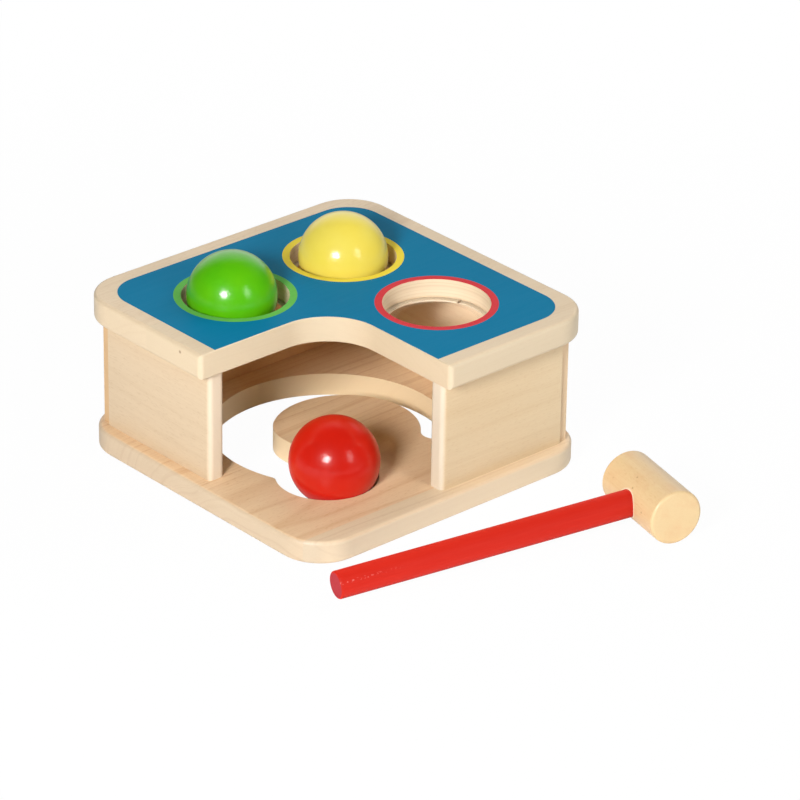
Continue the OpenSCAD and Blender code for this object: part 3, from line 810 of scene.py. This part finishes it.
blue_ink = screen_ink("screen_printed_blue_ink", "#037FA8", "#02759E")
ring_inks = {
    "green": screen_ink("screen_printed_green_ink", "#70C458", "#60B64B"),
    "yellow": screen_ink("screen_printed_yellow_ink", "#FFE64E", "#F8DC44"),
    "red": screen_ink("screen_printed_red_ink", "#E2434A", "#D83A42"),
}
print("inks:", blue_ink.name, [m.name for m in ring_inks.values()])

# %% [markdown]
# ## The blue field
#
# The field is a square with three round corners. Its fourth corner follows the roof's cut-out, and the rings
# leave three round holes in it. It could be painted by a mask in the roof's material, but then its edge would
# be only as sharp as a baked picture. So it is a film of its own: six corner points, four of them rounded
# with a vertex bevel, three circles, and a fill that leaves the circles open. Real ink is thinner than this
# film, which is 0.1 mm high so that it stays clear of the board.

# %% Printed films
FILM = 0.1 * MM
ROOF_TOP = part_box("roof_board")[1].z
RING_IN, RING_OUT = 26.8 * MM, 30.5 * MM


def ring_edge(bm, hole, radius):
    """Adds a circle round a hole, on the roof's top."""
    x, y = HOLE_AT[hole]
    bmesh.ops.create_circle(bm, segments=128, radius=radius,
                            matrix=Matrix.Translation((x * MM, y * MM, ROOF_TOP)))


def finish_film(bm, name, ink):
    """Raises a flat fill by the film's height and makes it a piece of the toy."""
    raised = bmesh.ops.extrude_face_region(bm, geom=bm.faces[:])
    upper = [v for v in raised["geom"] if isinstance(v, bmesh.types.BMVert)]
    bmesh.ops.translate(bm, vec=(0, 0, FILM), verts=upper)
    bmesh.ops.recalc_face_normals(bm, faces=bm.faces[:])
    mesh = bpy.data.meshes.new(name)
    bm.to_mesh(mesh)
    bm.free()
    mesh.materials.append(ink)
    piece = bpy.data.objects.new(name, mesh)
    bpy.context.scene.collection.objects.link(piece)
    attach(piece, "toy")
    return piece


print("roof top", round(ROOF_TOP / MM, 1), "mm up, film", round(FILM / MM, 2), "mm high")

# %% Blue field
FIELD_SIDE = 81.5
FIELD_FRONT = -81.4
CUT_X, CUT_Y = 5.7, -5.7
CUT_ROUND = 29.3 * MM
FIELD_ROUND = 18.5 * MM
CORNER_REACH = 81 * MM
bm = bmesh.new()
outline = [(-FIELD_SIDE, FIELD_FRONT), (CUT_X, FIELD_FRONT), (CUT_X, CUT_Y),
           (FIELD_SIDE, CUT_Y), (FIELD_SIDE, FIELD_SIDE), (-FIELD_SIDE, FIELD_SIDE)]
corners = [bm.verts.new((x * MM, y * MM, ROOF_TOP)) for x, y in outline]
bm.faces.new(corners)
bmesh.ops.bevel(bm, geom=[corners[2]], offset=CUT_ROUND, offset_type="OFFSET", affect="VERTICES",
                segments=48, profile=0.5, material=-1)
outer = [v for v in bm.verts if abs(v.co.x * v.co.y) > CORNER_REACH ** 2]
bmesh.ops.bevel(bm, geom=outer, offset=FIELD_ROUND, offset_type="OFFSET", affect="VERTICES",
                segments=32, profile=0.5, material=-1)
bmesh.ops.delete(bm, geom=bm.faces[:], context="FACES_ONLY")
for tint in HOLE_AT:
    ring_edge(bm, tint, RING_OUT)
bmesh.ops.triangle_fill(bm, edges=bm.edges[:], use_beauty=True, normal=(0, 0, 1))
blue_field = finish_film(bm, "printed_blue_field", blue_ink)
print("blue field:", len(blue_field.data.polygons), "faces,",
      [round(v / MM, 1) for v in blue_field.dimensions], "mm")

# %% [markdown]
# ## The rings
#
# Each ring is the band between two circles. Bridging the two loops makes it in one step.

# %% Printed rings
for tint, ink in ring_inks.items():
    bm = bmesh.new()
    ring_edge(bm, tint, RING_IN)
    ring_edge(bm, tint, RING_OUT)
    bmesh.ops.bridge_loops(bm, edges=bm.edges[:])
    ring = finish_film(bm, "printed_" + tint + "_ring", ink)
    print(ring.name, len(ring.data.polygons), "faces")

# %% [markdown]
# ## Finish
#
# The last line sets the Standard view transform.

# %% Finish
bpy.context.scene.view_settings.view_transform = "Standard"
